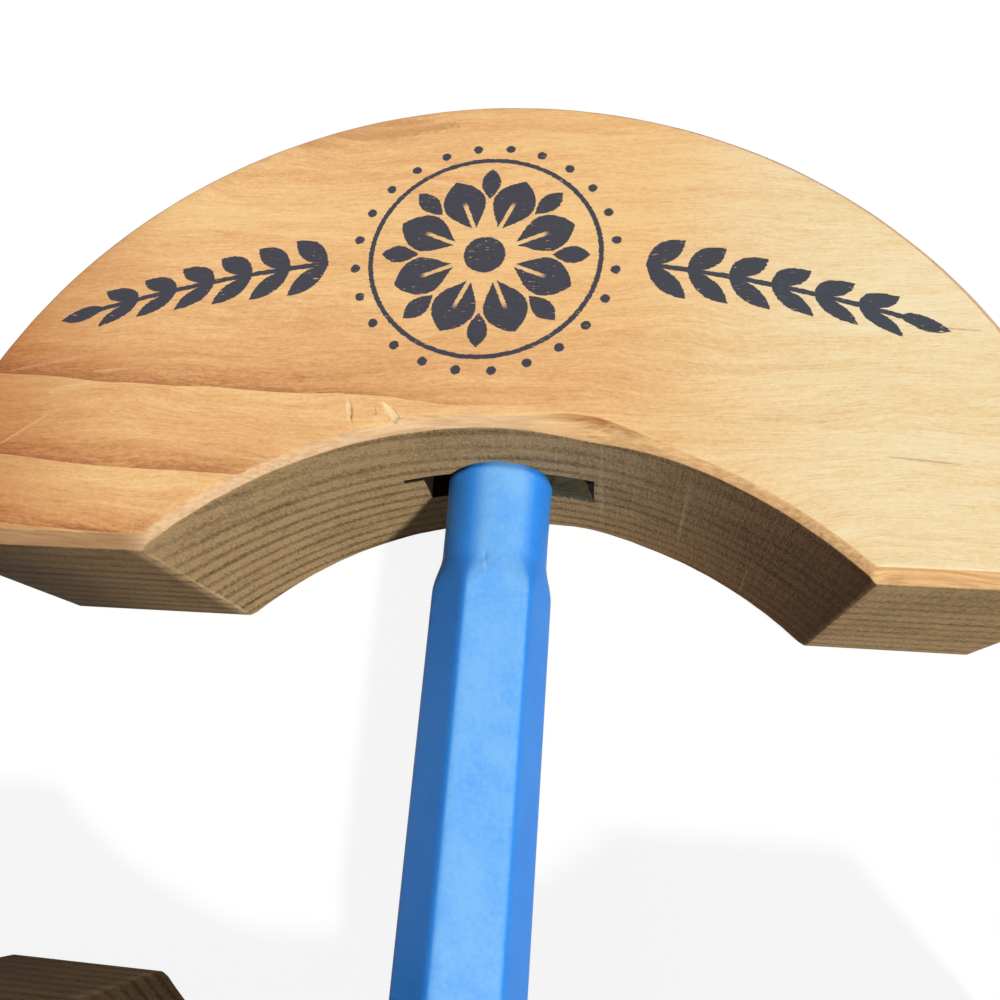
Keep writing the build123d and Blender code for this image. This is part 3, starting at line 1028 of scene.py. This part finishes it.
def threadSolid(shape, hand):
    # long helical form, later trimmed by the rod's outline
    pitch, crest, root = shape["pitch"], shape["radius"] + 0.001, shape["root"]
    steps = [(0.0, root), (0.12, root), (0.5, crest), (0.62, crest)]
    low, high = shape["start"] - shape["overrun"] * pitch, shape["shoulder"] + shape["overrun"] * pitch
    turns = int((high - low) / pitch)
    segments = shape["segments"]
    bm = bmesh.new()
    grid = []
    for s in range(segments):
        share = s / segments
        places = [(r, low + (share + turn + part) * pitch) for turn in range(turns) for part, r in steps]
        grid.append([bm.verts.new(ringPoint(hand * 2 * math.pi * share, r, y)) for r, y in places])
    # at the seam each row meets the first one, one turn on
    for s, a in enumerate(grid):
        b = grid[s + 1] if s + 1 < segments else grid[0][len(steps):]
        for k in range(len(b) - 1):
            bm.faces.new((a[k], a[k + 1], b[k + 1], b[k]))
    bmesh.ops.holes_fill(bm, edges=[e for e in bm.edges if e.is_boundary], sides=0)
    bmesh.ops.triangulate(bm, faces=[f for f in bm.faces if len(f.verts) > 4])
    bmesh.ops.recalc_face_normals(bm, faces=bm.faces)
    return toMesh(bm, "thread")


def addRod(name, shape, hand):
    radius, tenon, start, shoulder = shape["radius"], shape["tenon"], shape["start"], shape["shoulder"]
    outline = [
        (0.0, start),
        (radius - shape["tipChamfer"], start),
        (radius, start + shape["tipChamfer"]),
        (radius, shoulder),
        (tenon, shoulder),
        (tenon, shape["end"]),
        (0.0, shape["end"]),
    ]
    thing = addObject(name, turnedSolid(outline))
    combine(thing, [addObject("thread", threadSolid(shape, hand))], "INTERSECT")
    return thing


zinc = {"colour": (176, 178, 176), "shade": (150, 150, 146), "bright": (214, 215, 212),
        "dirt": (74, 66, 52), "grime": 0.45, "roughness": (0.27, 0.44), "metal": 0.62}
turnedBrass = {"colour": (206, 168, 92), "shade": (184, 142, 72), "bright": (238, 208, 140),
               "dirt": (92, 66, 34), "grime": 0.4, "roughness": (0.21, 0.38), "metal": 0.66}


def makeMetal(name, look):
    material, g = newMaterial(name)
    position = g.coord("Object")
    marks = g.use(fineScratches, {"Position": position})
    cloud, scratches = marks["Cloud"], marks["Scratches"]
    grime = g.step(cloud, 0.42, 0.66) * look["grime"]
    base = g.mix(g.step(g.noise(position, 1.1, 3), 0.3, 0.7), look["colour"], look["shade"])
    base = g.mix(grime, base, look["dirt"])
    base = g.mix(scratches * 0.3, base, look["bright"])
    rough = g.step(cloud, 0.3, 0.7, *look["roughness"]) + grime * 0.3
    height = g.noise(position, 3.0) * 0.012 - scratches * 0.006
    finishSurface(g, base, rough, height, {"Metallic": look["metal"] - grime * 0.5})
    return material


zincMaterial = makeMetal("zincSteel", zinc)
brassMaterial = makeMetal("turnedBrass", turnedBrass)

for name, hand, body, node in (
    ("frontRodThread", 1, "front_half", "front_threaded_rod"),
    ("rearRodThread", -1, "rear_half", "rear_threaded_rod"),
):
    piece = addRod(name, rod, hand)
    if hand < 0:
        turnRound(piece)
    dress(piece, zincMaterial, 24)
    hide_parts(node)
    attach(piece, body)
print("threaded rods made")


# anchor plates and inserts keep their CAD shape
edgeWidths = {"plate": 0.3, "insert": 0.15}   # mm


def refine(node, material, width):
    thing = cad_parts[node]
    weld = thing.modifiers.new("weld", "WELD")
    weld.merge_threshold = 1e-6
    soft = thing.modifiers.new("softEdges", "BEVEL")
    soft.width = width * mm
    soft.segments = 2
    soft.limit_method = "ANGLE"
    soft.angle_limit = math.radians(40)
    for slot in thing.material_slots:
        slot.material = material


for end in ("front", "rear"):
    refine(end + "_anchor_plate", zincMaterial, edgeWidths["plate"])
    refine(end + "_thread_insert", brassMaterial, edgeWidths["insert"])
print("plates and inserts dressed")


# glue, mm
glue = {
    "left": 2.0,
    "right": 12.86,
    "high": 3.97,
    "back": 44.88,
    "thinnest": 0.3,
    "proud": -0.08,            # from the arch wall to the glue at the pocket's lower lip
    "sink": 1.25,              # how much deeper it lies at the upper lip
    "cornerSink": (0.9, 0.14),  # how much deeper still at its upper corner, and over what share of its length
    "lumps": 0.16,
    "gap": (1.7, 0.2, 2.2),    # how far it stops short at the top, and from and to which height
    "bore": (0.02, 35.0, 50.0),  # room round the rod, and where the hole starts and ends
    "columns": 52,
    "rows": 40,
    "colour": (74, 66, 42),
    "deep": (50, 45, 27),
    # painted glint colour on the glue
    "glint": (196, 196, 176),
}


def glueMesh(shape, seed):
    # flat on the plate behind, lumpy in front, and lower towards its upper edge
    def smooth(share):
        return share * share * (3 - 2 * share)

    def face(u, v):
        z = shape["high"] * (2 * v - 1)
        short, low, high = shape["gap"]
        right = shape["right"] - short * smooth(min(1.0, max(0.0, (z - low) / (high - low))))
        x = shape["left"] + (right - shape["left"]) * u
        wallPlace = block["archMiddle"] + math.sqrt(block["archRadius"] ** 2 - (x - block["archOffset"]) ** 2)
        lump = noise.noise(Vector((x * 0.42, z * 0.5, seed))) * 1.5
        lump += noise.noise(Vector((x * 1.1, z * 1.2, seed + 3))) * 0.5
        y = wallPlace + shape["proud"] + shape["sink"] * smooth(v) + shape["lumps"] * max(0.0, lump)
        deeper, length = shape["cornerSink"]
        y += deeper * v * max(0.0, u - 1 + length) / length
        return Vector((x, min(y, shape["back"] - shape["thinnest"]), z))

    def back(u, v):
        front = face(u, v)
        return Vector((front.x, shape["back"], front.z))

    def rim(u, v):
        return [face(u, v).lerp(back(u, v), w) * mm for w in (0, 0.5, 1)]

    us = [k / shape["columns"] for k in range(shape["columns"] + 1)]
    vs = [k / shape["rows"] for k in range(shape["rows"] + 1)]
    bm = bmesh.new()
    for side in (face, back):
        addPatch(bm, [[side(u, v) * mm for v in vs] for u in us])
    for edge in (0.0, 1.0):
        addPatch(bm, [rim(u, edge) for u in us])
        addPatch(bm, [rim(edge, v) for v in vs])
    joinPatches(bm)
    return toMesh(bm, "glue")


def makeGlue(look):
    material, g = newMaterial("setGlue")
    position = g.coord("Object")
    base = g.mix(g.step(g.noise(position, 0.5, 3), 0.3, 0.7), look["colour"], look["deep"])
    # painted glints: small pale specks in place of highlights on the glue
    glints = g.step(g.noise(position, 1.5, 1), 0.69, 0.73)
    base = g.mix(glints * 0.7, base, look["glint"])
    rough = g.step(g.noise(position, 1.8), 0.3, 0.8, 0.18, 0.32)
    finishSurface(g, base, rough, g.noise(position, 0.9) * 0.06, {"Specular IOR Level": 0.05})
    return material


glueMaterial = makeGlue(glue)
for name, turned, body, node, seed in (
    ("frontGlue", False, "front_half", "front_glue_fill", 2.0),
    ("rearGlue", True, "rear_half", "rear_glue_fill", 9.0),
):
    piece = addObject(name, glueMesh(glue, seed))
    room, start, end = glue["bore"]
    combine(piece, [roundCutter(rod["radius"] + room, start, end, 64)])
    if turned:
        turnRound(piece)
    dress(piece, glueMaterial, 50)
    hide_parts(node)
    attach(piece, body)
print("glue made")


# floor and light, lengths in mm
studio = {
    "floorSize": 12.0,         # m
    "floorHeight": -19.1,
    "floorSeen": 0.13,         # how much light and shadow show on top of the glow
    "floorGlow": 0.89,
    "floorBounce": 0.16,
    "skyLight": 0.15,
    "keyLamp": {"kind": "SUN", "place": (372, -339, 597), "aim": (0, 40, 0), "angle": 4.5, "power": 3.17,
                "colour": (1.0, 0.985, 0.96)},
    "fillLamp": {"kind": "AREA", "place": (-420, 620, 520), "aim": (0, 0, 0), "size": 500, "power": 0.7,
                 "colour": (0.97, 0.98, 1.0)},
}


def addFloor(values):
    bm = bmesh.new()
    bmesh.ops.create_grid(bm, x_segments=1, y_segments=1, size=values["floorSize"] / 2)
    floor = addObject("floor", toMesh(bm, "floor"))
    floor.location.z = values["floorHeight"] * mm
    material, g = newMaterial("paleFloor")
    rays = g.named("ShaderNodeLightPath")
    seen = g.most(rays["Is Camera Ray"], rays["Is Glossy Ray"], rays["Is Transmission Ray"])
    shown = g.add("ShaderNodeBsdfDiffuse", {"Color": (values["floorSeen"],) * 3 + (1,)})[0]
    glow = g.add("ShaderNodeEmission", {"Color": (1, 1, 1, 1), "Strength": values["floorGlow"]})[0]
    plain = g.add("ShaderNodeBsdfDiffuse", {"Color": (values["floorBounce"],) * 3 + (1,)})[0]
    bright = g.add("ShaderNodeAddShader", {0: shown, 1: glow})[0]
    both = g.add("ShaderNodeMixShader", {0: seen, 1: plain, 2: bright})[0]
    g.add("ShaderNodeOutputMaterial", {"Surface": both})
    floor.data.materials.append(material)


def addSky(values):
    world = bpy.data.worlds.new("studioSky")
    scene.world = world
    world.use_nodes = True
    world.node_tree.nodes.clear()
    g = Graph(world.node_tree)
    rays = g.named("ShaderNodeLightPath")
    seen = g.most(rays["Is Camera Ray"], rays["Is Transmission Ray"])
    strength = g.step(seen, 0.0, 1.0, values["skyLight"], 1.0)
    sky = g.add("ShaderNodeBackground", {"Color": (1, 1, 1, 1), "Strength": strength})[0]
    g.add("ShaderNodeOutputWorld", {"Surface": sky})


def addLamp(name, values):
    data = bpy.data.lights.new(name, values["kind"])
    if values["kind"] == "SUN":
        data.angle = math.radians(values["angle"])
    else:
        data.shape = "DISK"
        data.size = values["size"] * mm
    data.energy = values["power"]
    data.color = values["colour"]
    lamp = addObject(name, data)
    place, aim = Vector(values["place"]) * mm, Vector(values["aim"]) * mm
    lamp.location = place
    lamp.rotation_mode = "QUATERNION"
    lamp.rotation_quaternion = (aim - place).to_track_quat("-Z", "Y")


addFloor(studio)
addSky(studio)
for lampName in ("keyLamp", "fillLamp"):
    addLamp(lampName, studio[lampName])
scene.view_settings.view_transform = "Standard"
print("studio ready")
